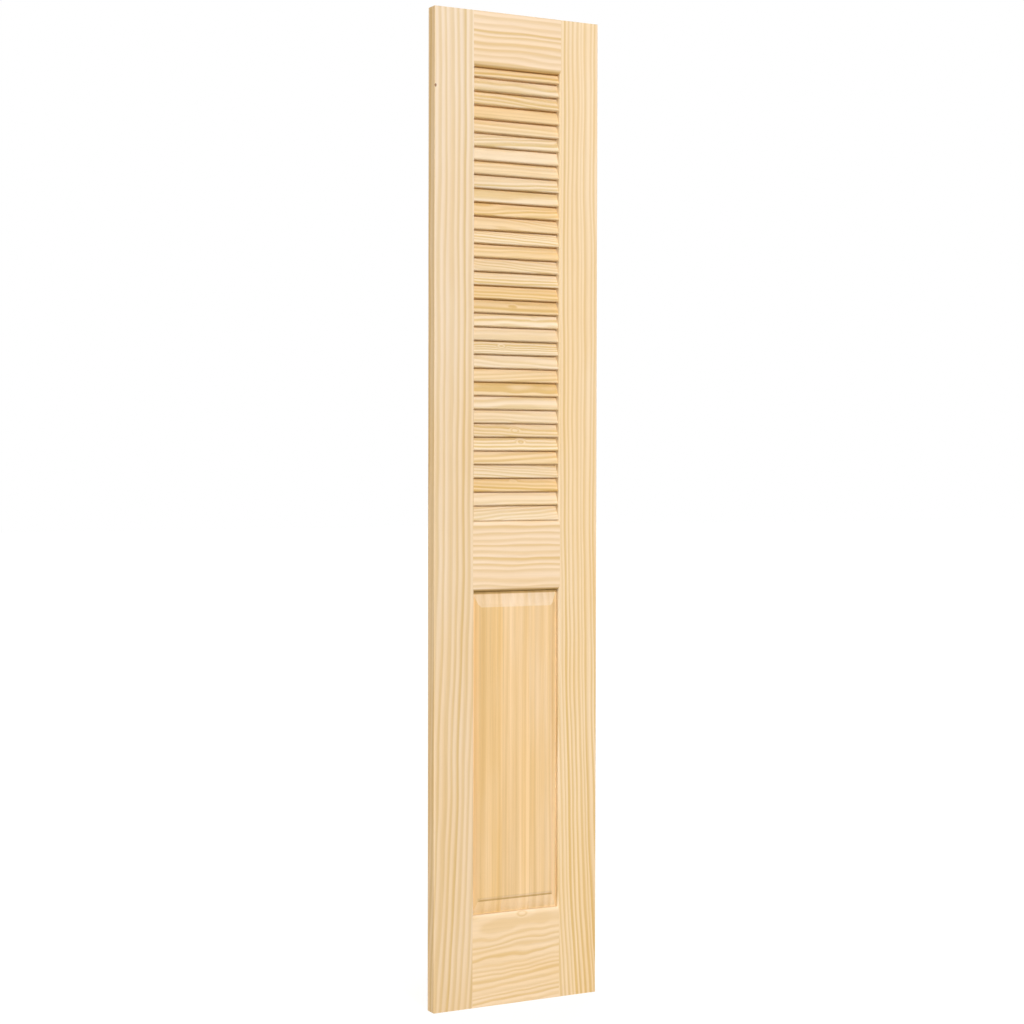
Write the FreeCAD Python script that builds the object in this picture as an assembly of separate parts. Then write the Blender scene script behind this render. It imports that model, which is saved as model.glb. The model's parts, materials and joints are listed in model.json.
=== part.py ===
"""Two-leaf bifold closet door: in each leaf, louvre slats above a raised panel in a stile and rail frame.

Millimetres, +Z up. The origin is the mouth of the bottom pivot bore, in the lower end of the jamb leaf's
pivot stile. +X runs along the jamb leaf towards the hinges, +Y from its room face to its closet face.
Every piece is built in leaf coordinates: x from the leaf's free edge to its hinged edge, y from the room
face to the closet face, z from the bottom. The lead leaf is the jamb leaf's mirror image across the hinge
pins, folded round them to the angle at which the pair stands by itself.
"""

import FreeCAD, Part
import math
import os

Vector = FreeCAD.Vector

# Leaf
leaf_width = 375.0
leaf_height = 2007.0
leaf_thickness = 28.6
edge_easing = 1.2            # rounding of the outer arrises
stile_width = 89.5           # to the inner edge, moulding included
top_rail_width = 110.5
mid_rail_width = 141.0
bottom_rail_width = 187.0
louvre_opening = 913.0       # height between the top rail and the middle rail
stile_moulding = 2.5         # width of the ovolo on a stile's face
rail_moulding = 7.5          # width of the ovolo on a rail's face
moulding_depth = 4.0
glue_line = 0.05             # between a rail's coped end and the stile

# Slats
slat_width = 36.0
slat_thickness = 6.4
slat_nose = 2.2              # how far each long edge's blunt nose stands past its two slopes
slat_tilt = 27.0             # degrees from upright, room edge low
slat_spacing = 27.75         # aimed at; the slats share the opening evenly
slat_nose_gap = 4.5          # under the lowest slat's room edge
slat_top_housing = 12.7      # how far the highest slat rises into the top rail
slot_depth = 8.0
slot_end_gap = 0.5
slot_fit = 0.1

# Raised panel
panel_thickness = 23.0       # across both fields
panel_tongue = 6.0
panel_shoulder = 2.0         # from the field down to the bevel
panel_bevel_end = 26.5       # width of the top and bottom bevels
panel_bevel_side = 12.0
field_rounding = 7.0         # width over which the field's edge rounds down to the bevel
groove_depth = 10.0
groove_fit = 0.2             # each side of the tongue
panel_float = 1.0            # room for the panel to swell sideways and upwards

# Blind mortise and tenon joints between rails and stiles
tenon_length = 45.0
tenon_thickness = 10.0
tenon_shoulder = 20.0        # from a rail's edge to its tenon
tenon_fit = 0.1
mortise_relief = 1.5         # glue space past the tenon's end

# Bores for the pivots and the track guide
pivot_bore_radius = 4.75
pivot_backset = 22.0         # from the leaf's free edge
bottom_bore_depth = 38.0
top_bore_depth = 50.0

# Hinges
rest_fold = 57.0             # degrees between the leaves as they stand
joint_gap = 3.0              # between the leaves' edges when closed
hinge_height = 64.0
hinge_top_inset = 180.0      # from the leaf's top to the upper hinge's centre
hinge_bottom_inset = 250.0
plate_width = 24.0           # from the pin's axis
plate_thickness = 1.5
plate_corner = 3.0           # bevel across each outer corner
pin_radius = 1.6
pin_running_fit = 0.05
knuckle_count = 3
knuckle_gap = 0.4
knuckle_relief = 0.6         # between a plate's notch and the other plate's knuckle

# Screw holes, two to a plate
screw_hole_radius = 2.0
screw_backset = 14.0         # from the pin's axis
screw_spacing = 38.0

# Derived places
inner_left = stile_width
inner_right = leaf_width - stile_width
mid_depth = leaf_thickness / 2
top_rail_low = leaf_height - top_rail_width
mid_rail_high = top_rail_low - louvre_opening
mid_rail_low = mid_rail_high - mid_rail_width
barrel_radius = pin_radius + pin_running_fit + plate_thickness
pin_x = leaf_width + joint_gap / 2
pin_y = leaf_thickness + barrel_radius
hinge_heights = {
    "lower": hinge_bottom_inset,
    "middle": (hinge_bottom_inset + leaf_height - hinge_top_inset) / 2,
    "upper": leaf_height - hinge_top_inset,
}
rail_spans = {
    "bottom_rail": (0.0, bottom_rail_width),
    "middle_rail": (mid_rail_low, mid_rail_high),
    "top_rail": (top_rail_low, leaf_height),
}


# Shapes

def in_plan(x, y):
    return Vector(x, y, 0)


def in_section(y, z):
    return Vector(0, y, z)


def bend(corner, before, after):
    """Start, middle and end of the arc that rounds a corner by the given vectors along its two sides.

    Where these differ, the arc leaves the longer one smoothly and meets the shorter one at an angle.
    """
    if before.Length == 0 or after.Length == 0:
        return corner, corner, corner
    longer, shorter = (before, after) if before.Length >= after.Length else (after, before)
    radius = (longer.Length ** 2 + shorter.Length ** 2) / (2 * shorter.Length)
    inward = Vector(shorter).normalize()
    outward = Vector(longer).normalize()
    half = math.asin(longer.Length / radius) / 2
    centre = corner + longer + inward * radius
    middle = centre - inward * radius * math.cos(half) - outward * radius * math.sin(half)
    return corner + before, middle, corner + after


def rounded_wire(corners, place):
    """Closed wire through corners of (a, b, rounding before, rounding after), set in space by place(a, b)."""
    points = [place(a, b) for a, b, before, after in corners]
    bends = []
    for i, (a, b, before, after) in enumerate(corners):
        to_previous = (points[i - 1] - points[i]).normalize() * before
        to_next = (points[(i + 1) % len(points)] - points[i]).normalize() * after
        bends.append(bend(points[i], to_previous, to_next))
    edges = []
    for i, (start, middle, end) in enumerate(bends):
        if start.distanceToPoint(end) > 1e-6:
            edges.append(Part.Arc(start, middle, end).toShape())
        next_start = bends[(i + 1) % len(bends)][0]
        if end.distanceToPoint(next_start) > 1e-6:
            edges.append(Part.LineSegment(end, next_start).toShape())
    return Part.Wire(edges)


def prism(wire, along):
    return Part.Face(wire).extrude(along)


def box(low, high):
    return Part.makeBox(*(high - low), low)


def bore(centre, radius, depth, direction):
    return Part.makeCylinder(radius, depth, centre, direction)


def across(shape):
    """The mirror image on the other side of the leaf."""
    return shape.mirror(Vector(leaf_width / 2, 0, 0), Vector(1, 0, 0))


# Louvre slats

def slat_centres():
    tilt = math.radians(slat_tilt)
    crown = slat_width * math.cos(tilt)
    slope = (slat_width - 2 * slat_nose) * math.cos(tilt) + slat_thickness * math.sin(tilt)
    rise = max(crown, slope)
    lowest = mid_rail_high + slat_nose_gap + rise / 2
    highest = top_rail_low + slat_top_housing - rise / 2
    steps = round((highest - lowest) / slat_spacing)
    return [lowest + (highest - lowest) * i / steps for i in range(steps + 1)]


def slat_solid(centre_z, into_stile, fit):
    """Slat with blunt noses, tilted room edge low, reaching into_stile past each stile, larger by fit."""
    tilt = math.radians(slat_tilt)
    along = Vector(0, math.sin(tilt), math.cos(tilt)) * (slat_width / 2 + fit)
    shoulder = along * ((slat_width - 2 * slat_nose) / slat_width)
    outward = Vector(0, math.cos(tilt), -math.sin(tilt)) * (slat_thickness / 2 + fit)
    centre = Vector(inner_left - into_stile, mid_depth, centre_z)
    section = [along, shoulder + outward, outward - shoulder, -along, -shoulder - outward, shoulder - outward]
    corners = [centre + corner for corner in section]
    length = inner_right - inner_left + 2 * into_stile
    return prism(Part.makePolygon(corners + corners[:1]), Vector(length, 0, 0))


def slats():
    return [slat_solid(z, slot_depth - slot_end_gap, 0) for z in slat_centres()]


def slat_housings():
    """Room for every slat: slots routed in both stiles, and the top slat's groove in the top rail."""
    return [slat_solid(z, slot_depth, slot_fit) for z in slat_centres()]


# Raised panel

def panel_section(low, high, bevel, low_reach, high_reach):
    """Corners of the panel's section across an opening: tongues in the grooves, bevels and rounded fields."""
    tongue = panel_tongue / 2
    field = panel_thickness / 2
    foot = field - panel_shoulder
    half = [
        (low - low_reach, tongue, 0, 0),
        (low, tongue, 0, 0),
        (low + bevel, foot, 0, 0),
        (low + bevel, field, panel_shoulder, field_rounding),
        (high - bevel, field, field_rounding, panel_shoulder),
        (high - bevel, foot, 0, 0),
        (high, tongue, 0, 0),
        (high + high_reach, tongue, 0, 0),
    ]
    room_face = [(a, mid_depth - b, before, after) for a, b, before, after in half]
    closet_face = [(a, mid_depth + b, after, before) for a, b, before, after in reversed(half)]
    return room_face + closet_face


def panel():
    """Panel raised on both faces; its tongue stands on the bottom groove's floor."""
    reach = groove_depth - panel_float
    upright = panel_section(bottom_rail_width, mid_rail_low, panel_bevel_end, groove_depth, reach)
    level = panel_section(inner_left, inner_right, panel_bevel_side, reach, reach)
    across_width = prism(rounded_wire(upright, lambda z, y: in_section(y, z)), Vector(leaf_width, 0, 0))
    up_height = prism(rounded_wire(level, in_plan), Vector(0, 0, leaf_height))
    return across_width.common(up_height)


def panel_groove():
    half = panel_tongue / 2 + groove_fit
    low = Vector(inner_left - groove_depth, mid_depth - half, bottom_rail_width - groove_depth)
    high = Vector(inner_right + groove_depth, mid_depth + half, mid_rail_low + groove_depth)
    return box(low, high)


# Frame

def tenons(length, fit):
    """Tenons of each rail through the leaf's width, or the stiles' mortises when larger by fit."""
    half = tenon_thickness / 2 + fit
    return {
        name: box(
            Vector(inner_left - length, mid_depth - half, low + tenon_shoulder - fit),
            Vector(inner_right + length, mid_depth + half, high - tenon_shoulder + fit),
        )
        for name, (low, high) in rail_spans.items()
    }


def stile_board():
    section = [
        (0, 0, edge_easing, edge_easing),
        (stile_width, 0, stile_moulding, moulding_depth),
        (stile_width, leaf_thickness, moulding_depth, stile_moulding),
        (0, leaf_thickness, edge_easing, edge_easing),
    ]
    return prism(rounded_wire(section, in_plan), Vector(0, 0, leaf_height))


def stile_cuts():
    mortises = tenons(tenon_length + mortise_relief, tenon_fit)
    return slat_housings() + list(mortises.values()) + [panel_groove()]


def free_stile(end_bores):
    return stile_board().cut(stile_cuts() + end_bores)


def hinge_stile():
    return across(stile_board()).cut(stile_cuts())


def bottom_pivot_bore():
    return bore(Vector(pivot_backset, mid_depth, 0), pivot_bore_radius, bottom_bore_depth, Vector(0, 0, 1))


def top_bore():
    """Bore for the top pivot in the jamb leaf, and for the track guide in the lead leaf."""
    mouth = Vector(pivot_backset, mid_depth, leaf_height)
    return bore(mouth, pivot_bore_radius, top_bore_depth, Vector(0, 0, -1))


def rail(name):
    """Rail with a tenon at each end, its shoulders coped over the stiles' mouldings."""
    low, high = rail_spans[name]
    below = (rail_moulding, moulding_depth) if low > 0 else (0, 0)
    above = (rail_moulding, moulding_depth) if high < leaf_height else (0, 0)
    section = [
        (0, low, below[0], below[1]),
        (leaf_thickness, low, below[1], below[0]),
        (leaf_thickness, high, above[0], above[1]),
        (0, high, above[1], above[0]),
    ]
    start = inner_left - stile_moulding
    blank = prism(rounded_wire(section, in_section), Vector(leaf_width - 2 * start, 0, 0))
    cope = stile_board().translated(Vector(glue_line, 0, 0))
    shoulders = blank.translated(Vector(start, 0, 0)).cut([cope, across(cope)])
    return shoulders.cut(slat_housings() + [panel_groove()]).fuse(tenons(tenon_length, 0)[name])


# Hinges

def knuckle_span(centre_z, index):
    pitch = (hinge_height + knuckle_gap) / knuckle_count
    low = centre_z - hinge_height / 2 + index * pitch
    return low, low + pitch - knuckle_gap


def screw_holes(centre_z):
    """Clearance holes through a plate, bored from its outer face."""
    x, y = pin_x - screw_backset, leaf_thickness + plate_thickness
    places = [Vector(x, y, centre_z + rise) for rise in (-screw_spacing / 2, screw_spacing / 2)]
    return [bore(place, screw_hole_radius, plate_thickness, Vector(0, -1, 0)) for place in places]


def hinge_plate(centre_z, own_knuckles):
    """Surface-mounted plate on the closet face, with its rolled knuckles round the pin's axis."""
    bottom, top = centre_z - hinge_height / 2, centre_z + hinge_height / 2
    left = pin_x - plate_width
    outline = [
        (pin_x, bottom),
        (pin_x, top),
        (left + plate_corner, top),
        (left, top - plate_corner),
        (left, bottom + plate_corner),
        (left + plate_corner, bottom),
    ]
    corners = [Vector(x, leaf_thickness, z) for x, z in outline]
    sheet = prism(Part.makePolygon(corners + corners[:1]), Vector(0, plate_thickness, 0))
    rolls = []
    notches = []
    for index in range(knuckle_count):
        low, high = knuckle_span(centre_z, index)
        if index in own_knuckles:
            axis_point = Vector(pin_x, pin_y, low)
            rolls.append(bore(axis_point, barrel_radius, high - low, Vector(0, 0, 1)))
        else:
            notches.append(box(
                Vector(pin_x - barrel_radius - knuckle_relief, leaf_thickness, low - knuckle_gap),
                Vector(pin_x, leaf_thickness + plate_thickness, high + knuckle_gap),
            ))
    pin_bore = bore(
        Vector(pin_x, pin_y, bottom), pin_radius + pin_running_fit, hinge_height, Vector(0, 0, 1)
    )
    return sheet.cut(notches).fuse(rolls).cut([pin_bore] + screw_holes(centre_z))


def hinge_pin(centre_z):
    return bore(Vector(pin_x, pin_y, centre_z - hinge_height / 2), pin_radius, hinge_height, Vector(0, 0, 1))


# Places of the two leaves

def on_jamb_leaf(shape):
    return shape.translated(Vector(-pivot_backset, -mid_depth, 0))


def on_lead_leaf(shape):
    """Mirror across the hinge pins, then fold from the closed position to the standing angle."""
    folded = shape.mirror(Vector(pin_x, 0, 0), Vector(1, 0, 0))
    folded.rotate(Vector(pin_x, pin_y, 0), Vector(0, 0, 1), 180 - rest_fold)
    return on_jamb_leaf(folded)


def write(name, shape):
    shape.exportStep(os.path.join("parts", name + ".step"))


def build():
    os.makedirs("parts", exist_ok=True)
    shared = {
        "hinge_stile": hinge_stile(),
        "panel": panel(),
    }
    shared.update({name: rail(name) for name in rail_spans})
    for name, shape in shared.items():
        write("jamb_leaf_" + name, on_jamb_leaf(shape))
        write("lead_leaf_" + name, on_lead_leaf(shape))
    write("jamb_leaf_pivot_stile", on_jamb_leaf(free_stile([bottom_pivot_bore(), top_bore()])))
    write("lead_leaf_guide_stile", on_lead_leaf(free_stile([top_bore()])))

    for number, slat in enumerate(slats(), 1):
        write("jamb_leaf_slat_%02d" % number, on_jamb_leaf(slat))
    write("lead_leaf_slats", on_lead_leaf(Part.makeCompound(slats())))

    for place, height in hinge_heights.items():
        jamb_plate = hinge_plate(height, range(0, knuckle_count, 2))
        lead_plate = hinge_plate(height, range(1, knuckle_count, 2))
        write(place + "_hinge_jamb_plate", on_jamb_leaf(jamb_plate))
        write(place + "_hinge_lead_plate", on_lead_leaf(lead_plate))
        write(place + "_hinge_pin", on_jamb_leaf(hinge_pin(height)))


build()
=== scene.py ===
"""Louvred bifold closet door: pine boards, louvre slats, hinges, hinge screws and a plain studio stage.

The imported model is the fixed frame. Its boards and hinges keep their shapes and get their finishes here.
The louvre slats are made again with round noses, and the lowest reaches down to the rail. The hinge screws
are added. A place in a leaf is given as in the jamb leaf; the lead leaf is its mirror image, folded round the
hinge pins.
"""

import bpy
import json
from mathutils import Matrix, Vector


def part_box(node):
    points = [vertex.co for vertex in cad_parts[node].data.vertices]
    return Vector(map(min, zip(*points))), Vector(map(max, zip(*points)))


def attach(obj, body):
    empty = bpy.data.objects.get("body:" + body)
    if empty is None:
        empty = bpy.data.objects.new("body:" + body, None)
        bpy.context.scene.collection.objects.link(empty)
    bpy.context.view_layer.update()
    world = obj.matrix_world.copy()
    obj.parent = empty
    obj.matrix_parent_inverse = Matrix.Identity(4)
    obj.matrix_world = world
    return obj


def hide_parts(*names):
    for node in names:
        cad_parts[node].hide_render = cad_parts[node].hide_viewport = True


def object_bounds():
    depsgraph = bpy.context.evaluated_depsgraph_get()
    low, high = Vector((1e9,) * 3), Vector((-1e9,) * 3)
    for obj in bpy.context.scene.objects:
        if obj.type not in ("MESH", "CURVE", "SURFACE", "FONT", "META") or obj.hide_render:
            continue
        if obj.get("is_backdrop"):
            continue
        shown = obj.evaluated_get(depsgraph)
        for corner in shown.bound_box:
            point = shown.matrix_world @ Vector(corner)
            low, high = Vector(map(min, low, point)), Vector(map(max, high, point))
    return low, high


bl_info = {
    "name": "Bifold Closet Door",
    "version": (1, 0, 0),
    "blender": (4, 5, 0),
    "location": "View3D > Sidebar > Closet Door",
    "description": "Finishes a louvred bifold closet door in pine, with its hinges and a studio stage",
    "category": "Object",
}

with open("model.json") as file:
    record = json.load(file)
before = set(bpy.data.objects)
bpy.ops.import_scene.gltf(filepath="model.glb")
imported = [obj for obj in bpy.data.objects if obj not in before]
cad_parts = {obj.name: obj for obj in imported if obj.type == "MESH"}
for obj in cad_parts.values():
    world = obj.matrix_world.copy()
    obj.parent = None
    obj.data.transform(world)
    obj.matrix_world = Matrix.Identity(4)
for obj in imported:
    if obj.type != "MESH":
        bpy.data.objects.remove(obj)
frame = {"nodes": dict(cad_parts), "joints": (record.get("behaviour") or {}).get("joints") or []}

import dataclasses
import functools
import json
import math
import random

import bmesh
import bpy
from bpy.props import FloatProperty, FloatVectorProperty, IntProperty, PointerProperty
from mathutils import Matrix, Vector

CAD_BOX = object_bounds()
MILLIMETRES = 1000.0

FOLD = frame["joints"][0]
PIN = Vector(FOLD["pos_m"]) * Vector((1, 1, 0))
LEAD_TURN = math.pi + math.radians(FOLD["range_deg"][0])
HINGES = ("lower", "middle", "upper")
LEAVES = ("jamb_leaf", "lead_leaf")
PLATE_THICKNESS = 0.0015         # of the hinges, in metres
FLOOR_REACH = 30.0               # from the middle to each edge, in metres


def srgb(red, green, blue):
    """The linear colour of a display colour given from 0 to 255."""
    shares = [value / 255 for value in (red, green, blue)]
    return tuple(c / 12.92 if c <= 0.04045 else ((c + 0.055) / 1.055) ** 2.4 for c in shares)


def box_mm(node):
    """Low and high corner of a node, in millimetres."""
    return [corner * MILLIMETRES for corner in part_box(node)]


# The jamb leaf, in millimetres
PIVOT_SIDE, HINGE_SIDE = box_mm("jamb_leaf_pivot_stile"), box_mm("jamb_leaf_hinge_stile")
MIDDLE = (PIVOT_SIDE[0].x + HINGE_SIDE[1].x) / 2
HALF_WIDTH = (HINGE_SIDE[1].x - PIVOT_SIDE[0].x) / 2
HALF_OPENING = (HINGE_SIDE[0].x - PIVOT_SIDE[1].x) / 2
LEAF_HEIGHT = PIVOT_SIDE[1].z

# The panel's visible part and its raised field, in millimetres
PANEL_LOW = box_mm("jamb_leaf_bottom_rail")[1].z
PANEL_TOP = box_mm("jamb_leaf_middle_rail")[0].z
END_BEVEL, SIDE_BEVEL = 26.5, 12.0
FIELD_LOW = PANEL_LOW + END_BEVEL
FIELD_HALF_WIDTH = HALF_OPENING - SIDE_BEVEL


def leaf_matrix(leaf):
    """From the jamb leaf's place to the given leaf's."""
    if leaf == "jamb_leaf":
        return Matrix.Identity(4)
    mirror = Matrix.Diagonal((-1, 1, 1, 1))
    turn = Matrix.Rotation(LEAD_TURN, 4, "Z")
    return Matrix.Translation(PIN) @ turn @ mirror @ Matrix.Translation(-PIN)


# Sizes and colours that a user would change

class PineProperties(bpy.types.PropertyGroup):
    """Colours and surface of the pine."""

    early_wood: FloatVectorProperty(
        name="Early Wood", description="Pale wood that grows in spring", subtype="COLOR",
        min=0, max=1, default=srgb(254, 234, 210),
    )
    late_wood: FloatVectorProperty(
        name="Late Wood", description="Darker wood that ends each ring", subtype="COLOR",
        min=0, max=1, default=srgb(232, 203, 149),
    )
    rosy: FloatVectorProperty(
        name="Rosy Tint", description="Tint of the pinkest stretches", subtype="COLOR",
        min=0, max=1, default=srgb(255, 250, 245),
    )
    golden: FloatVectorProperty(
        name="Golden Tint", description="Tint of the yellowest stretches", subtype="COLOR",
        min=0, max=1, default=srgb(246, 223, 176),
    )
    roughness: FloatProperty(
        name="Roughness", description="Mean roughness of the sanded surface", subtype="FACTOR",
        min=0, max=1, default=0.58,
    )
    relief: FloatProperty(
        name="Relief", description="Height that a bump of 1 stands for", subtype="DISTANCE", unit="LENGTH",
        min=0, default=0.0004,
    )


class LouvreProperties(bpy.types.PropertyGroup):
    """The slats' section."""

    width: FloatProperty(
        name="Width", description="Across a slat, nose to nose", subtype="DISTANCE", unit="LENGTH",
        min=0.01, default=0.036,
    )
    thickness: FloatProperty(
        name="Thickness", description="Through a slat", subtype="DISTANCE", unit="LENGTH",
        min=0.002, default=0.0064,
    )
    nose: FloatProperty(
        name="Nose", description="How far each rounded nose stands past the flats", subtype="DISTANCE",
        unit="LENGTH", min=0.0005, default=0.0014,
    )
    tilt: FloatProperty(
        name="Tilt", description="From upright, room edge low", subtype="ANGLE", unit="ROTATION",
        default=math.radians(27),
    )
    set_by_hand: FloatProperty(
        name="Set by Hand", description="Most that a slat's tilt strays", subtype="ANGLE", unit="ROTATION",
        min=0, default=math.radians(0.4),
    )
    seed: IntProperty(name="Seed", description="Seed of the slats' stray", min=0, default=7)
    lowest_reach: FloatProperty(
        name="Lowest Reach", description="How much further down the lowest slat goes, to the rail",
        subtype="DISTANCE", unit="LENGTH", min=0, default=0.004,
    )


class HingeProperties(bpy.types.PropertyGroup):
    """The hinges' finish and screws."""

    steel: FloatVectorProperty(
        name="Steel", description="Zinc-plated steel", subtype="COLOR", min=0, max=1,
        default=srgb(205, 203, 196),
    )
    head_radius: FloatProperty(
        name="Head Radius", description="Of a screw's head", subtype="DISTANCE", unit="LENGTH",
        min=0.001, default=0.0034,
    )
    head_rise: FloatProperty(
        name="Head Rise", description="Height of a screw's domed head over the plate", subtype="DISTANCE",
        unit="LENGTH", min=0.0002, default=0.0009,
    )
    backset: FloatProperty(
        name="Backset", description="From the pins' axis to the screws", subtype="DISTANCE", unit="LENGTH",
        default=0.014,
    )
    spacing: FloatProperty(
        name="Spacing", description="Between a plate's two screws", subtype="DISTANCE", unit="LENGTH",
        default=0.038,
    )


class StageProperties(bpy.types.PropertyGroup):
    """Camera, lamps and floor."""

    camera_place: FloatVectorProperty(
        name="Camera Place", description="Where the camera stands", subtype="TRANSLATION", unit="LENGTH",
        default=(-1.8592, -3.7403, 1.0938),
    )
    yaw: FloatProperty(
        name="Yaw", description="Turn of the view to the right of +Y", subtype="ANGLE", unit="ROTATION",
        default=math.radians(28.38),
    )
    pitch: FloatProperty(
        name="Pitch", description="Tilt of the view above level", subtype="ANGLE", unit="ROTATION",
        default=math.radians(-1.24),
    )
    roll: FloatProperty(
        name="Roll", description="Turn of the camera about its view", subtype="ANGLE", unit="ROTATION",
        default=math.radians(0.11),
    )
    focal_length: FloatProperty(
        name="Focal Length", description="Of the lens, on a 36 mm sensor", subtype="DISTANCE_CAMERA",
        unit="CAMERA", min=1, default=73.37,
    )
    ambient: FloatProperty(
        name="Ambient", description="Strength of the studio's even light", min=0, default=0.38,
    )
    key: FloatProperty(
        name="Key", description="Strength of the lamp in front", min=0, default=2.2,
    )
    key_height: FloatProperty(
        name="Key Height", description="Of the key lamp over the horizon", subtype="ANGLE",
        unit="ROTATION", default=math.radians(15),
    )
    side: FloatProperty(
        name="Side", description="Strength of the lamp at the left", min=0, default=1.1,
    )
    back: FloatProperty(
        name="Back", description="Strength of the lamp behind", min=0, default=1.9,
    )


# Shader nodes

class Signal:
    """A socket of a shader. Expressions on signals of values add Math nodes."""

    def __init__(self, shader, socket):
        self.shader = shader
        self.socket = socket

    def maths(self, operation, *others):
        return self.shader.maths(operation, self, *others)

    def __add__(self, other):
        return self.maths("ADD", other)

    def __radd__(self, other):
        return self.maths("ADD", other)

    def __sub__(self, other):
        return self.maths("SUBTRACT", other)

    def __rsub__(self, other):
        return self.shader.maths("SUBTRACT", other, self)

    def __mul__(self, other):
        return self.maths("MULTIPLY", other)

    def __rmul__(self, other):
        return self.maths("MULTIPLY", other)

    def __truediv__(self, other):
        return self.maths("DIVIDE", other)

    def __rtruediv__(self, other):
        return self.shader.maths("DIVIDE", other, self)

    def __abs__(self):
        return self.maths("ABSOLUTE")

    def rise(self, low, high):
        """From 0 at low to 1 at high, smoothly; high may be less than low."""
        return self.shader.node(
            "ShaderNodeMapRange", {"interpolation_type": "SMOOTHSTEP"},
            {"Value": self, "From Min": low, "From Max": high},
        )


class Shader:
    """The nodes of a new material or world, all added by one method."""

    def __init__(self, owner):
        self.owner = owner
        owner.use_nodes = True
        self.tree = owner.node_tree
        self.tree.nodes.clear()

    def node(self, kind, settings=None, sockets=None, output=0):
        """Adds a node, gives it its settings and then its sockets' values or links."""
        made = self.tree.nodes.new(kind)
        for name, value in (settings or {}).items():
            setattr(made, name, value)
        for key, value in (sockets or {}).items():
            if isinstance(value, Signal):
                self.tree.links.new(value.socket, made.inputs[key])
            else:
                made.inputs[key].default_value = value
        return Signal(self, made.outputs[output]) if made.outputs else None

    def maths(self, operation, *values):
        return self.node("ShaderNodeMath", {"operation": operation}, dict(enumerate(values)))

    def vector(self, x, y, z):
        return self.node("ShaderNodeCombineXYZ", None, {"X": x, "Y": y, "Z": z})

    def parts(self, vector):
        """The X, Y and Z of a vector."""
        made = self.node("ShaderNodeSeparateXYZ", None, {"Vector": vector}).socket.node
        return [Signal(self, made.outputs[axis]) for axis in "XYZ"]

    def noise(self, place, detail=2.0):
        """Smooth noise about 0, mostly within a quarter of it, with features about 1 across."""
        sockets = {"Vector": place, "Scale": 1.0, "Detail": detail}
        return self.node("ShaderNodeTexNoise", None, sockets) - 0.5

    def chance(self, value):
        """Three random numbers from 0 to 1 that hold as long as the value does."""
        return self.parts(self.node("ShaderNodeTexWhiteNoise", {"noise_dimensions": "1D"}, {"W": value}, 1))

    def mix(self, factor, first, second, blend="MIX"):
        """Mixes two colours. They are the node's sockets 6 and 7, and its output 2."""
        settings = {"data_type": "RGBA", "blend_type": blend}
        return self.node("ShaderNodeMix", settings, {0: factor, 6: opaque(first), 7: opaque(second)}, 2)

    def scaled(self, vector, factor):
        return self.node("ShaderNodeVectorMath", {"operation": "SCALE"}, {"Vector": vector, "Scale": factor})

    def bump(self, height, distance):
        return self.node("ShaderNodeBump", None, {"Height": height, "Distance": distance})

    def finished(self, surface, output="ShaderNodeOutputMaterial"):
        self.node(output, None, {"Surface": surface})
        return self.owner


def opaque(colour):
    """A colour as a socket takes it."""
    return colour if isinstance(colour, Signal) else (*colour, 1.0)


def material_shader(name):
    return Shader(bpy.data.materials.new(name))


# Pine

@dataclasses.dataclass
class Knot:
    """A small knot or swirl, in millimetres. The rings bend round it by a number of years."""

    along: float
    across: float
    reach: float
    years: float = 1.0
    dark: float = 0.0


@dataclasses.dataclass
class Cut:
    """How a board lies in its log, in millimetres. Across is from the middle of the board's face.

    A value may also be a signal that varies over the board.
    """

    pith: tuple                  # the log's middle, across the face and behind it
    ring: float = 12.0           # a year's growth
    tilt: float = 0.0            # slope of the grain along the board
    lean: float = 0.0            # how far the grain has leaned by the board's low end
    lean_from: float = 1.0       # where along the board it starts to lean
    wave: float = 2.0            # depth of the waves in the grain
    wavelength: float = 160.0
    gold: float = 0.3            # tint, from 0 for rosy to 1 for golden
    shade: float = 1.0
    contrast: float = 1.0        # of the late wood
    deepening: float = 0.0       # contrast added by the board's low end
    yellowing: float = 0.34      # gold added by a stile's low end
    shadow: float = 0.42         # strength of the painted shade on a rail's moulding where it faces down
    streak: float = 0.12         # contrast of the long streaks
    streak_width: float = 9.0
    tint: tuple = (1.0, 1.0, 1.0)
    seed: float = 0.0
    knots: tuple = ()


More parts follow.
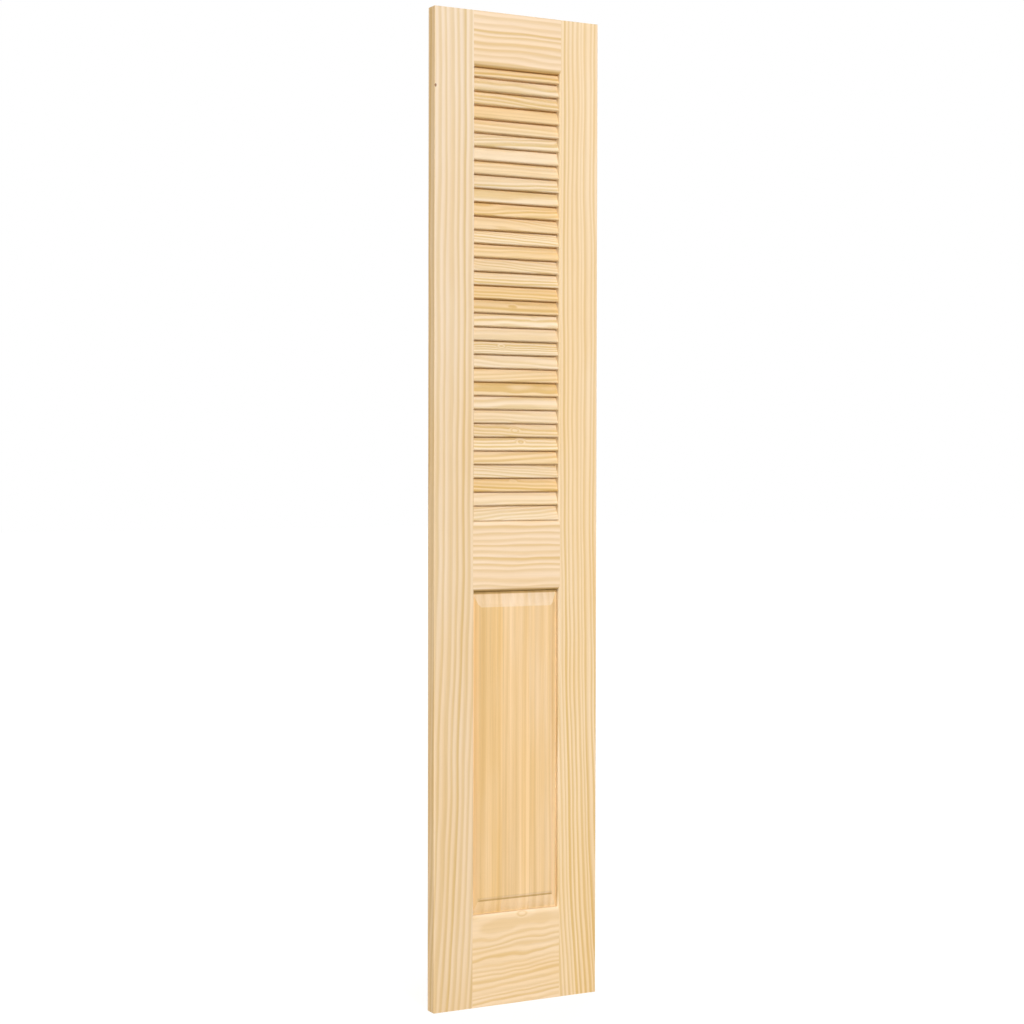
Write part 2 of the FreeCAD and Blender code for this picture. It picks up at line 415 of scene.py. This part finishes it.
def pine(shader, grain, across, through, cut, end=0.0):
    """Material of a board, from millimetres along its log, across its face and through it."""
    look = bpy.context.scene.closet_door_pine

    def noise(along, side, detail=2.0, shift=0.0):
        place = shader.vector(grain / along + (cut.seed + shift), across / side + shift, through / side)
        return shader.noise(place, detail)

    # Distance from the pith, which wanders along the board
    fall = ((cut.lean_from - grain) / cut.lean_from).maths("MAXIMUM", 0.0)
    drift = fall * fall * cut.lean - grain * cut.tilt + noise(700, 170) * 22
    side = across + drift - cut.pith[0]
    behind = through - cut.pith[1]
    waves = noise(cut.wavelength, 45, 1.0, 3.1) * cut.wave * 4
    radius = (side * side + behind * behind).maths("SQRT") + waves

    # Years, of uneven widths, which bend round the knots
    years = radius / cut.ring
    years = years + shader.noise(shader.vector(years * 0.4, cut.seed, 0.0), 1.0) * 1.6
    dark = 0.0
    for knot in cut.knots:
        away = (grain - knot.along) / (knot.reach * 1.8)
        aside = (across - knot.across) / knot.reach
        below = through / (knot.reach * 2)
        near = (away * away + aside * aside + below * below).rise(1.0, 0.0)
        years = years + near * near * knot.years
        dark = dark + near.rise(0.55, 0.95) * knot.dark

    # Late wood at the end of each year, and the finer figure
    season = years.maths("FRACT")
    strength = shader.chance(years.maths("FLOOR") + cut.seed)[0] * 0.6 + 0.4
    late = season.rise(0.1, 0.62) * season.rise(1.0, 0.72) * strength * (fall * cut.deepening + cut.contrast)
    fibre = noise(55, 1.5, 3.0, 7.7)
    streak = noise(900, cut.streak_width, 2.0, 1.3) + noise(600, cut.streak_width / 3.5, 2.0, 4.3) * 0.5
    tone = noise(300, 60.0, 2.0, 5.9)
    fleck = noise(9, 0.45, 0.0, 9.1).rise(0.18, 0.34)

    # Colour and surface
    colour = shader.mix(late, tuple(look.early_wood), tuple(look.late_wood))
    gold = tone * 0.65 - streak * cut.streak + cut.gold
    tinted = shader.mix(gold.maths("MAXIMUM", 0.0), tuple(look.rosy), tuple(look.golden))
    colour = shader.mix(1.0, colour, shader.mix(1.0, tinted, cut.tint, "MULTIPLY"), "MULTIPLY")
    light = (fibre * 0.1 + streak * cut.streak - fleck * 0.05 + 1.0) * cut.shade
    colour = shader.scaled(colour, light)
    colour = shader.mix(dark, colour, KNOT_WOOD)
    colour = shader.mix(end, colour, shader.mix(1.0, colour, END_GRAIN, "MULTIPLY"))
    surface = shader.node("ShaderNodeBsdfPrincipled", None, {
        "Base Color": colour,
        "Roughness": look.roughness - late * 0.08 + fibre * 0.15,
        "Normal": shader.bump(late * 0.5 + fibre, look.relief),
        "Specular IOR Level": 0.3,
    })
    return shader.finished(surface)


END_GRAIN = srgb(222, 198, 172)      # what end grain multiplies the face's colour by
KNOT_WOOD = srgb(140, 92, 50)

# How each board of a leaf was sawn. The lead leaf's boards come from other places in like logs.
CUTS = {
    "pivot_stile": Cut(
        pith=(-190, 150), ring=11.0, lean=38, lean_from=1250, wave=1.2, gold=-0.13, shade=0.97, seed=2.0,
        contrast=1.0, yellowing=0.65, tint=(0.99, 1.003, 1.0), knots=(Knot(1850, -42.8, 3.4, 0.3, 0.9),),
    ),
    "hinge_stile": Cut(
        pith=(150, 110), ring=8.0, lean=-34, lean_from=1100, wave=1.0, gold=0.23, shade=1.02, seed=11.0,
        contrast=0.85, deepening=0.5, tint=(1.0, 1.018, 1.0),
    ),
    "top_rail": Cut(
        pith=(-160, 50), ring=12.5, wave=3.0, wavelength=150, gold=0.2, shade=1.02, shadow=0.2, seed=23.0,
    ),
    "middle_rail": Cut(
        pith=(-150, 45), ring=12.0, wave=2.6, wavelength=120, gold=0.24, shade=1.01, seed=31.0,
    ),
    "bottom_rail": Cut(
        pith=(62, 40), ring=10.0, tilt=0.07, wave=3.2, wavelength=75, gold=0.4, seed=43.0,
        contrast=0.85, tint=(1.0, 1.0, 0.97), knots=(Knot(179, 87, 10, 0.8),),
    ),
    "panel": Cut(
        pith=(-120, 30), ring=17.0, wave=0.8, wavelength=500, gold=0.85, contrast=0.45,
        streak=0.5, streak_width=17, seed=57.0,
    ),
}
CUTS["guide_stile"] = CUTS["pivot_stile"]
UPRIGHT = ("pivot_stile", "guide_stile", "hinge_stile", "panel")
STAVE_WIDTH = 62.0               # of the panel's glued staves, in millimetres
EDGE_GOLD = 0.85                 # how much yellower a leaf's long edges are than its faces: partly their own edge grain, partly a painted warm tint of the shade they lie in
SIDE_TINT = (0.98, 1.03, 1.0)    # painted tint of the sides of an opening, to offset the reddish light they bounce onto one another
DEEP_TINT = (1.0, 0.95, 0.72)    # of the wood in the shadow under a rail or a slat
SLAT_TINT = (0.975, 1.0, 0.965)  # of the slats' faces


def leaf_place(shader, leaf):
    """Place in the jamb leaf, in millimetres, of a point on either leaf's board."""
    place = shader.node("ShaderNodeTexCoord", None, None, "Object")
    if leaf == "lead_leaf":
        turned = {"Vector": place, "Center": tuple(PIN), "Angle": -LEAD_TURN}
        place = shader.node("ShaderNodeVectorRotate", {"rotation_type": "Z_AXIS"}, turned)
        mirror = {0: place, 1: (-1, 1, 1), 2: (2 * PIN.x, 0, 0)}
        place = shader.node("ShaderNodeVectorMath", {"operation": "MULTIPLY_ADD"}, mirror)
    return shader.parts(shader.scaled(place, MILLIMETRES))


def finish_board(leaf, board):
    """Gives a stile, rail or panel its pine."""
    model = "pivot_stile" if board == "guide_stile" else board
    low, high = box_mm("jamb_leaf_" + model)
    middle = (low + high) / 2
    name = leaf + "_" + board
    shader = material_shader("pine_" + name)
    x, y, z = leaf_place(shader, leaf)
    cut = CUTS[board]
    if leaf == "lead_leaf":
        cut = dataclasses.replace(cut, seed=cut.seed + 101, knots=())
    up = shader.parts(shader.node("ShaderNodeTexCoord", None, None, "Normal"))[2]
    end = 0.0
    if board in UPRIGHT:
        grain, across = z, x - middle.x
    else:
        grain, across = x, z - middle.z
    if board == "panel":
        cut = stave_cut(shader, across, up, z, cut)
    elif board.endswith("rail"):
        cut = rail_cut(shader, up, cut)
    else:
        cut = stile_cut(shader, x, z, cut)
        end = abs(up).rise(0.8, 0.95)
    material = pine(shader, grain, across, y - low.y, cut, end)
    dress(frame["nodes"][name], material)


def stile_cut(shader, x, z, cut):
    """A stile is yellower toward its low end. Its outer edge is yellower, partly its own grain and partly a
    painted warm tint of shade, and gets painted light toward its low end. Its inner moulding is painted paler
    and greener to offset bounced reddish light.
    """
    down = (1 - z / LEAF_HEIGHT).maths("MAXIMUM", 0.0)
    aside = abs(x - MIDDLE)
    outer = aside.rise(HALF_WIDTH - 0.6, HALF_WIDTH - 0.1)
    inner = aside.rise(HALF_OPENING + 2.5, HALF_OPENING + 0.5)
    return dataclasses.replace(
        cut,
        # Painted warm shade tint on the outer edge, with its own edge grain; painted paleness on the inner
        # moulding.
        gold=down.maths("SQRT") * cut.yellowing * (1 - outer) + outer * EDGE_GOLD - inner * 0.35 + cut.gold,
        # Painted light on the outer edge toward its low end; the faces darken toward the low end.
        shade=down * (outer * 0.085 - 0.035) + cut.shade,
        # Painted paler, greener tint on the inner moulding, against bounced reddish light.
        tint=shader.mix(inner, cut.tint, SIDE_TINT),
    )


def rail_cut(shader, up, cut):
    """A rail's moulding gets a painted highlight where it faces up and painted shade, with the shadow's tint,
    where it faces down.
    """
    # Painted shade where the moulding faces down, painted highlight where it faces up.
    painted_shade = up.rise(-0.15, -0.65)
    return dataclasses.replace(
        cut,
        gold=painted_shade * 0.6 - up.rise(0.25, 0.75) * 0.3 + cut.gold,
        shade=cut.shade - painted_shade * cut.shadow,
        tint=shader.mix(painted_shade, cut.tint, DEEP_TINT),
    )


def stave_cut(shader, across, up, z, cut):
    """The panel is glued up from staves, with plainer end bevels. Its top bevel is paler, partly its
    cross-cut grain and partly a painted highlight; painted shade, painted shadows and paler tints against
    bounced light are added as well.
    """
    stave = (across / STAVE_WIDTH + 0.5).maths("FLOOR")
    first, second, third = shader.chance(stave + cut.seed)
    # Painted highlight on the top bevel, which faces up. The lower bevel, which faces down, gets painted
    # shade near the rail and painted light near the field.
    top, bottom = up.rise(0.08, 0.22), up.rise(-0.08, -0.22)
    # Painted paler, greener tint on the hinge-side bevel, against bounced reddish light.
    beside = across.rise(FIELD_HALF_WIDTH - 2, HALF_OPENING - 1)
    # Painted shadow under the middle rail, and painted shade where the panel faces down.
    painted_rail_shadow = z.rise(PANEL_TOP - 7.5, PANEL_TOP - 4)
    under = up.rise(-0.2, -0.6)
    # Painted shade with a greener tint at the lower bevel's foot, against bounced reddish light.
    low = bottom * z.rise(PANEL_LOW + 12, PANEL_LOW)
    # Painted shadow line along the field's lower edge.
    band = z.rise(FIELD_LOW - 0.8, FIELD_LOW) * z.rise(FIELD_LOW + 10, FIELD_LOW + 3)
    painted_brink_shadow = band * abs(across).rise(FIELD_HALF_WIDTH + 2, FIELD_HALF_WIDTH - 2)
    pale = top * 0.45 + bottom * 0.2 + beside * 0.3
    shade = second * 0.05 + 0.95 - top * 0.02 - under * 0.28 - beside * 0.03 - painted_brink_shadow * 0.17 - low * 0.05
    return dataclasses.replace(
        cut,
        pith=(first * 160 - 200, second * 50 + 25),
        gold=third * 0.24 - 0.06 - pale + (painted_rail_shadow + under) * 0.9 + cut.gold,
        shade=shade - bottom * (z.rise(PANEL_LOW + 24, PANEL_LOW) * 0.16 - 0.08) - painted_rail_shadow * 0.45,
        tint=shader.mix(painted_rail_shadow + under, shader.mix(beside + low, cut.tint, SIDE_TINT), DEEP_TINT),
        streak=cut.streak - (top + bottom) * 0.3,
        seed=stave * 13.7 + cut.seed,
    )


def dress(piece, material):
    """Gives a piece one material."""
    piece.data.materials.clear()
    piece.data.materials.append(material)


# Louvre slats

NOSE_STEPS = 8
NOSE_MARGIN = 0.0004             # flat kept level beside each round nose
SLAT_GRAIN = "slat_place"        # attribute: millimetres along, across and through a slat
SLAT_NUMBER = "slat_number"


def slat_section(louvre, reach=0.0):
    """Points round a slat's section, across and through it: two flats and two round noses."""
    points = []
    for end, flat in ((1, louvre.width / 2 - louvre.nose), (-1, louvre.width / 2 - louvre.nose + reach)):
        points.append((end * (flat - NOSE_MARGIN), -end * louvre.thickness / 2))
        for step in range(NOSE_STEPS + 1):
            turn = math.pi * (step / NOSE_STEPS - 0.5)
            across = end * (flat + louvre.nose * math.cos(turn))
            points.append((across, end * louvre.thickness / 2 * math.sin(turn)))
        points.append((end * (flat - NOSE_MARGIN), end * louvre.thickness / 2))
    return points


def slat_places(louvre):
    """Low and high end, middle and tilt of each of a leaf's slats, lowest first, as in the jamb leaf."""
    stray = random.Random(louvre.seed)
    names = sorted(name for name in frame["nodes"] if name.startswith("jamb_leaf_slat_"))
    for name in names:
        low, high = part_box(name)
        middle = (low + high) / 2
        tilt = louvre.tilt + stray.uniform(-1, 1) * louvre.set_by_hand
        yield name, low.x, high.x, middle, tilt


def add_slat(mesh, number, low, high, middle, tilt, section, matrix):
    """Adds one slat to a bmesh."""
    place_layer = mesh.verts.layers.float_vector[SLAT_GRAIN]
    number_layer = mesh.verts.layers.float[SLAT_NUMBER]
    along = Vector((0, math.sin(tilt), math.cos(tilt)))
    outward = Vector((0, math.cos(tilt), -math.sin(tilt)))
    rings = []
    for x in (low, high):
        ring = []
        for across, through in section:
            place = Vector((x, middle.y, middle.z)) + along * across + outward * through
            vertex = mesh.verts.new(matrix @ place)
            vertex[place_layer] = Vector((x, across, through)) * MILLIMETRES
            vertex[number_layer] = number
            ring.append(vertex)
        rings.append(ring)
    for i in range(len(section)):
        j = (i + 1) % len(section)
        mesh.faces.new((rings[0][i], rings[1][i], rings[1][j], rings[0][j]))
    mesh.faces.new(rings[0])
    mesh.faces.new(rings[1][::-1])


def slat_mesh():
    mesh = bmesh.new()
    mesh.verts.layers.float_vector.new(SLAT_GRAIN)
    mesh.verts.layers.float.new(SLAT_NUMBER)
    return mesh


def piece_from(mesh, name, sharp_angle=math.radians(40)):
    """An object with a bmesh's faces, smooth but for its sharp edges."""
    bmesh.ops.recalc_face_normals(mesh, faces=mesh.faces)
    data = bpy.data.meshes.new(name)
    mesh.to_mesh(data)
    mesh.free()
    data.shade_smooth()
    data.set_sharp_from_angle(angle=sharp_angle)
    piece = bpy.data.objects.new(name, data)
    bpy.context.scene.collection.objects.link(piece)
    return piece


def slat_material():
    """One material for all slats, each sawn from a place of its own."""
    shader = material_shader("pine_slat")
    place = shader.node("ShaderNodeAttribute", {"attribute_name": SLAT_GRAIN}, None, "Vector")
    number = shader.node("ShaderNodeAttribute", {"attribute_name": SLAT_NUMBER}, None, "Fac")
    grain, across, through = shader.parts(place)
    first, second, third = shader.chance(number + 0.5)
    fourth, fifth, sixth = shader.chance(number + 200.5)
    seventh, eighth, ninth = shader.chance(number + 400.5)
    height = shader.parts(shader.node("ShaderNodeTexCoord", None, None, "Object"))[2]
    # Painted shade, with the shadow's tint, on the edges that the slats above and below hide, the stronger
    # the lower the slat is.
    painted_gap_shade = (across * through).rise(-33, -43) * height.rise(1.85, 1.35)
    cut = Cut(
        pith=(first * 90 - 45, second * 26 + 8),
        ring=third * 4 + 5,
        tilt=fourth * 0.16 - 0.08,
        wave=1.5,
        wavelength=90,
        gold=fifth * fifth * 0.7 + 0.03 + painted_gap_shade * 0.8,
        shade=sixth * 0.06 + 0.955 - painted_gap_shade * 0.3,
        tint=shader.mix(painted_gap_shade, SLAT_TINT, DEEP_TINT),
        contrast=seventh * 0.9 + 0.7,
        streak=0.2,
        streak_width=5,
        seed=number * 3.7,
        knots=(Knot(eighth * 211 + 60, ninth * 16 - 8, 9, (seventh * 4 - 2.4).maths("MAXIMUM", 0.0)),),
    )
    return pine(shader, grain, across, through, cut)


# Hinges

def steel_material(name, colour, roughness):
    """Zinc-plated steel, faintly brushed along the hinge."""
    shader = material_shader(name)
    place = shader.node("ShaderNodeTexCoord", None, None, "Object")
    x, y, z = shader.parts(shader.scaled(place, MILLIMETRES))
    brushed = shader.noise(shader.vector(x / 0.25, y / 0.25, z / 9), 2.0)
    cloud = shader.noise(shader.vector(x / 7, y / 7, z / 7), 3.0)
    tarnish = (cloud * 2 + 0.4).maths("MAXIMUM", 0.0)
    surface = shader.node("ShaderNodeBsdfPrincipled", None, {
        "Base Color": shader.mix(tarnish, colour, tuple(c * 0.82 for c in colour)),
        "Metallic": 1.0,
        "Roughness": roughness + cloud * 0.12 + brushed * 0.1,
        "Normal": shader.bump(brushed, 0.00004),
    })
    return shader.finished(surface)


HEAD_STEPS = 28
SHANK_RADIUS, SHANK_LENGTH = 0.0016, 0.0014
HEAD_PROFILE = ((1.0, 0.0), (0.98, 0.3), (0.86, 0.62), (0.6, 0.88), (0.3, 0.98))    # of radius and rise
RECESS_WIDTH, RECESS_LENGTH, RECESS_DEPTH = 0.0008, 0.0036, 0.0008


def screw_piece(name, hinge):
    """A domed screw head with a cross recess, its axis along +Z and its seat at the origin."""
    mesh = bmesh.new()
    shank = [(SHANK_RADIUS, -SHANK_LENGTH), (SHANK_RADIUS, 0.0)]
    head = [(radius * hinge.head_radius, rise * hinge.head_rise) for radius, rise in HEAD_PROFILE]
    turns = [2 * math.pi * i / HEAD_STEPS for i in range(HEAD_STEPS)]
    rings = []
    for radius, height in shank + head:
        rings.append([mesh.verts.new((radius * math.cos(t), radius * math.sin(t), height)) for t in turns])
    for lower, upper in zip(rings, rings[1:]):
        for i in range(HEAD_STEPS):
            j = (i + 1) % HEAD_STEPS
            mesh.faces.new((lower[i], lower[j], upper[j], upper[i]))
    mesh.faces.new(rings[0][::-1])
    mesh.faces.new(rings[-1])
    piece = piece_from(mesh, name)
    cut_recess(piece, hinge)
    return piece


def cut_recess(piece, hinge):
    """Cuts the cross recess into a screw's head."""
    mesh = bmesh.new()
    for size in ((RECESS_LENGTH, RECESS_WIDTH), (RECESS_WIDTH, RECESS_LENGTH)):
        made = bmesh.ops.create_cube(mesh, size=1.0)["verts"]
        bmesh.ops.scale(mesh, vec=(*size, 2 * RECESS_DEPTH), verts=made)
        bmesh.ops.translate(mesh, vec=(0, 0, hinge.head_rise), verts=made)
    cutter = piece_from(mesh, "recess")
    cut = piece.modifiers.new("recess", "BOOLEAN")
    cut.operation = "DIFFERENCE"
    cut.object = cutter
    cut.solver = "EXACT"
    cut.use_self = True
    bpy.context.view_layer.update()
    shaped = piece.evaluated_get(bpy.context.evaluated_depsgraph_get())
    data = bpy.data.meshes.new_from_object(shaped)
    piece.modifiers.clear()
    piece.data = data
    bpy.data.objects.remove(cutter)


# Stage

def look_along(stage):
    """The camera's turn from its yaw, pitch and roll."""
    turn = Matrix.Rotation(-stage.yaw, 4, "Z") @ Matrix.Rotation(math.pi / 2 + stage.pitch, 4, "X")
    return turn @ Matrix.Rotation(stage.roll, 4, "Z")


def looked_at(shader, *kinds):
    """1 for a ray of one of the kinds, straight or by reflection, and 0 for a ray that gathers light."""
    rays = [shader.node("ShaderNodeLightPath", None, None, "Is %s Ray" % kind) for kind in kinds]
    return functools.reduce(lambda seen, ray: seen.maths("MAXIMUM", ray), rays)


# Operators

class CLOSETDOOR_OT_stiles(bpy.types.Operator):
    """Finish the stiles of both leaves in pine"""

    bl_idname = "closet_door.stiles"
    bl_label = "Finish Stiles"

    def execute(self, context):
        for leaf, outer in zip(LEAVES, ("pivot_stile", "guide_stile")):
            finish_board(leaf, outer)
            finish_board(leaf, "hinge_stile")
        return {"FINISHED"}


class CLOSETDOOR_OT_rails(bpy.types.Operator):
    """Finish the rails of both leaves in pine"""

    bl_idname = "closet_door.rails"
    bl_label = "Finish Rails"

    def execute(self, context):
        for leaf in LEAVES:
            for place in ("top", "middle", "bottom"):
                finish_board(leaf, place + "_rail")
        return {"FINISHED"}


class CLOSETDOOR_OT_panels(bpy.types.Operator):
    """Finish the raised panels of both leaves in pine"""

    bl_idname = "closet_door.panels"
    bl_label = "Finish Panels"

    def execute(self, context):
        for leaf in LEAVES:
            finish_board(leaf, "panel")
        return {"FINISHED"}


class CLOSETDOOR_OT_slats(bpy.types.Operator):
    """Make the round-nosed louvre slats of both leaves"""

    bl_idname = "closet_door.slats"
    bl_label = "Make Slats"

    def execute(self, context):
        louvre = context.scene.closet_door_louvre
        material = slat_material()
        lead = slat_mesh()
        lead_matrix = leaf_matrix("lead_leaf")
        places = list(slat_places(louvre))
        for number, (name, *place) in enumerate(places):
            section = slat_section(louvre, 0.0 if number else louvre.lowest_reach)
            mesh = slat_mesh()
            add_slat(mesh, number, *place, section, Matrix.Identity(4))
            slat = piece_from(mesh, name.replace("slat", "louvre_slat"))
            self.fit(slat, material, "jamb_leaf", name)
            add_slat(lead, number + len(places), *place, section, lead_matrix)
        self.fit(piece_from(lead, "lead_leaf_louvre_slats"), material, "lead_leaf", "lead_leaf_slats")
        return {"FINISHED"}

    @staticmethod
    def fit(slats, material, leaf, node):
        dress(slats, material)
        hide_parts(node)
        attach(slats, leaf)


class CLOSETDOOR_OT_hinges(bpy.types.Operator):
    """Finish the hinge plates and pins in zinc-plated steel"""

    bl_idname = "closet_door.hinges"
    bl_label = "Finish Hinges"

    def execute(self, context):
        plated = steel_material("hinge_zinc", tuple(context.scene.closet_door_hinge.steel), 0.34)
        for place in HINGES:
            for part in ("_hinge_jamb_plate", "_hinge_lead_plate", "_hinge_pin"):
                dress(frame["nodes"][place + part], plated)
        return {"FINISHED"}


class CLOSETDOOR_OT_screws(bpy.types.Operator):
    """Drive the hinges' wood screws"""

    bl_idname = "closet_door.screws"
    bl_label = "Drive Screws"

    def execute(self, context):
        hinge = context.scene.closet_door_hinge
        material = steel_material("screw_zinc", tuple(c * 0.92 for c in hinge.steel), 0.3)
        upright = Matrix.Rotation(-math.pi / 2, 4, "X")
        for place in HINGES:
            low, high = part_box(place + "_hinge_jamb_plate")
            for name, side in (("low", -1), ("high", 1)):
                height = (low.z + high.z + side * hinge.spacing) / 2
                seat = Matrix.Translation((PIN.x - hinge.backset, low.y + PLATE_THICKNESS, height))
                for leaf in LEAVES:
                    screw = screw_piece("%s_hinge_%s_screw_%s" % (place, leaf[:4], name), hinge)
                    dress(screw, material)
                    self.put(screw, leaf_matrix(leaf) @ seat @ upright)
                    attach(screw, leaf)
        return {"FINISHED"}

    @staticmethod
    def put(screw, matrix):
        """Moves a screw's mesh, and turns its faces right again if the move mirrors it."""
        screw.data.transform(matrix)
        if matrix.determinant() < 0:
            screw.data.flip_normals()


class CLOSETDOOR_OT_stage(bpy.types.Operator):
    """Set the floor, the lamps, the backdrop and the camera"""

    bl_idname = "closet_door.stage"
    bl_label = "Set Stage"

    def execute(self, context):
        stage = context.scene.closet_door_stage
        context.scene.view_settings.view_transform = "Standard"
        self.floor()
        self.backdrop(context, stage)
        self.lamp(context, "key", stage.key, stage.key_height, -6, 7)
        self.lamp(context, "side", stage.side, math.radians(15), -88, 16)
        self.lamp(context, "back", stage.back, math.radians(30), 155, 40)
        self.camera(context, stage)
        return {"FINISHED"}

    @staticmethod
    def floor():
        """A pale floor that looks white but for the object's shadow."""
        mesh = bmesh.new()
        bmesh.ops.create_grid(mesh, x_segments=1, y_segments=1, size=FLOOR_REACH)
        floor = piece_from(mesh, "floor")
        shader = material_shader("floor_white")
        lit = shader.node("ShaderNodeBsdfDiffuse", None, {"Color": (*srgb(128, 127, 125), 1)})
        white = shader.node("ShaderNodeEmission", None, {"Color": (1, 1, 1, 1), "Strength": 0.86})
        lifted = shader.node("ShaderNodeAddShader", None, {0: lit, 1: white})
        seen = looked_at(shader, "Camera", "Glossy")
        dress(floor, shader.finished(shader.node("ShaderNodeMixShader", None, {0: seen, 1: lit, 2: lifted})))
        floor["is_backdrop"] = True

    @staticmethod
    def backdrop(context, stage):
        """A world that looks white and gives an even light."""
        context.scene.world = bpy.data.worlds.new("studio")
        shader = Shader(context.scene.world)
        even, white = (
            shader.node("ShaderNodeBackground", None, {"Color": (1, 1, 1, 1), "Strength": strength})
            for strength in (stage.ambient, 1.0)
        )
        seen = looked_at(shader, "Camera", "Glossy", "Transmission")
        mixed = shader.node("ShaderNodeMixShader", None, {0: seen, 1: even, 2: white})
        shader.finished(mixed, "ShaderNodeOutputWorld")

    @staticmethod
    def lamp(context, name, strength, height, azimuth, spread):
        """A far soft lamp. Its azimuth and spread are in degrees, the azimuth to the right of -Y."""
        data = bpy.data.lights.new(name, "SUN")
        data.energy = strength
        data.angle = math.radians(spread)
        lamp = bpy.data.objects.new(name, data)
        tilt = Matrix.Rotation(math.pi / 2 - height, 4, "X")
        lamp.matrix_world = Matrix.Rotation(math.radians(azimuth), 4, "Z") @ tilt
        context.scene.collection.objects.link(lamp)

    @staticmethod
    def camera(context, stage):
        """The camera, at the left and level with the door's middle."""
        data = bpy.data.cameras.new("camera")
        data.lens = stage.focal_length
        data.sensor_width = 36.0
        data.clip_end = 100.0
        camera = bpy.data.objects.new("camera", data)
        camera.matrix_world = Matrix.Translation(stage.camera_place) @ look_along(stage)
        context.scene.collection.objects.link(camera)
        context.scene.camera = camera


class CLOSETDOOR_PT_panel(bpy.types.Panel):
    """The closet door's settings and operators"""

    bl_idname = "CLOSETDOOR_PT_panel"
    bl_label = "Closet Door"
    bl_space_type = "VIEW_3D"
    bl_region_type = "UI"
    bl_category = "Closet Door"

    def draw(self, context):
        for settings, operators in SECTIONS.items():
            box = self.layout.box()
            group = getattr(context.scene, settings)
            for name in group.bl_rna.properties.keys():
                if name not in ("rna_type", "name"):
                    box.prop(group, name)
            for operator in operators:
                box.operator(operator.bl_idname)


SECTIONS = {
    "closet_door_stage": (CLOSETDOOR_OT_stage,),
    "closet_door_pine": (CLOSETDOOR_OT_stiles, CLOSETDOOR_OT_rails, CLOSETDOOR_OT_panels),
    "closet_door_louvre": (CLOSETDOOR_OT_slats,),
    "closet_door_hinge": (CLOSETDOOR_OT_hinges, CLOSETDOOR_OT_screws),
}
PROPERTY_GROUPS = {
    "closet_door_stage": StageProperties,
    "closet_door_pine": PineProperties,
    "closet_door_louvre": LouvreProperties,
    "closet_door_hinge": HingeProperties,
}
CLASSES = (
    *PROPERTY_GROUPS.values(),
    *(operator for operators in SECTIONS.values() for operator in operators),
    CLOSETDOOR_PT_panel,
)


def register():
    for added in CLASSES:
        bpy.utils.register_class(added)
    for name, group in PROPERTY_GROUPS.items():
        setattr(bpy.types.Scene, name, PointerProperty(type=group))


def unregister():
    for name in PROPERTY_GROUPS:
        delattr(bpy.types.Scene, name)
    for added in reversed(CLASSES):
        bpy.utils.unregister_class(added)


def main():
    register()
    bpy.ops.closet_door.stage()
    bpy.ops.closet_door.stiles()
    bpy.ops.closet_door.rails()
    bpy.ops.closet_door.panels()
    bpy.ops.closet_door.slats()
    bpy.ops.closet_door.hinges()
    bpy.ops.closet_door.screws()
    boxes = {"cad": CAD_BOX, "visual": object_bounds()}
    {name: [list(corner) for corner in box] for name, box in boxes.items()}


if __name__ == "__main__":
    main()
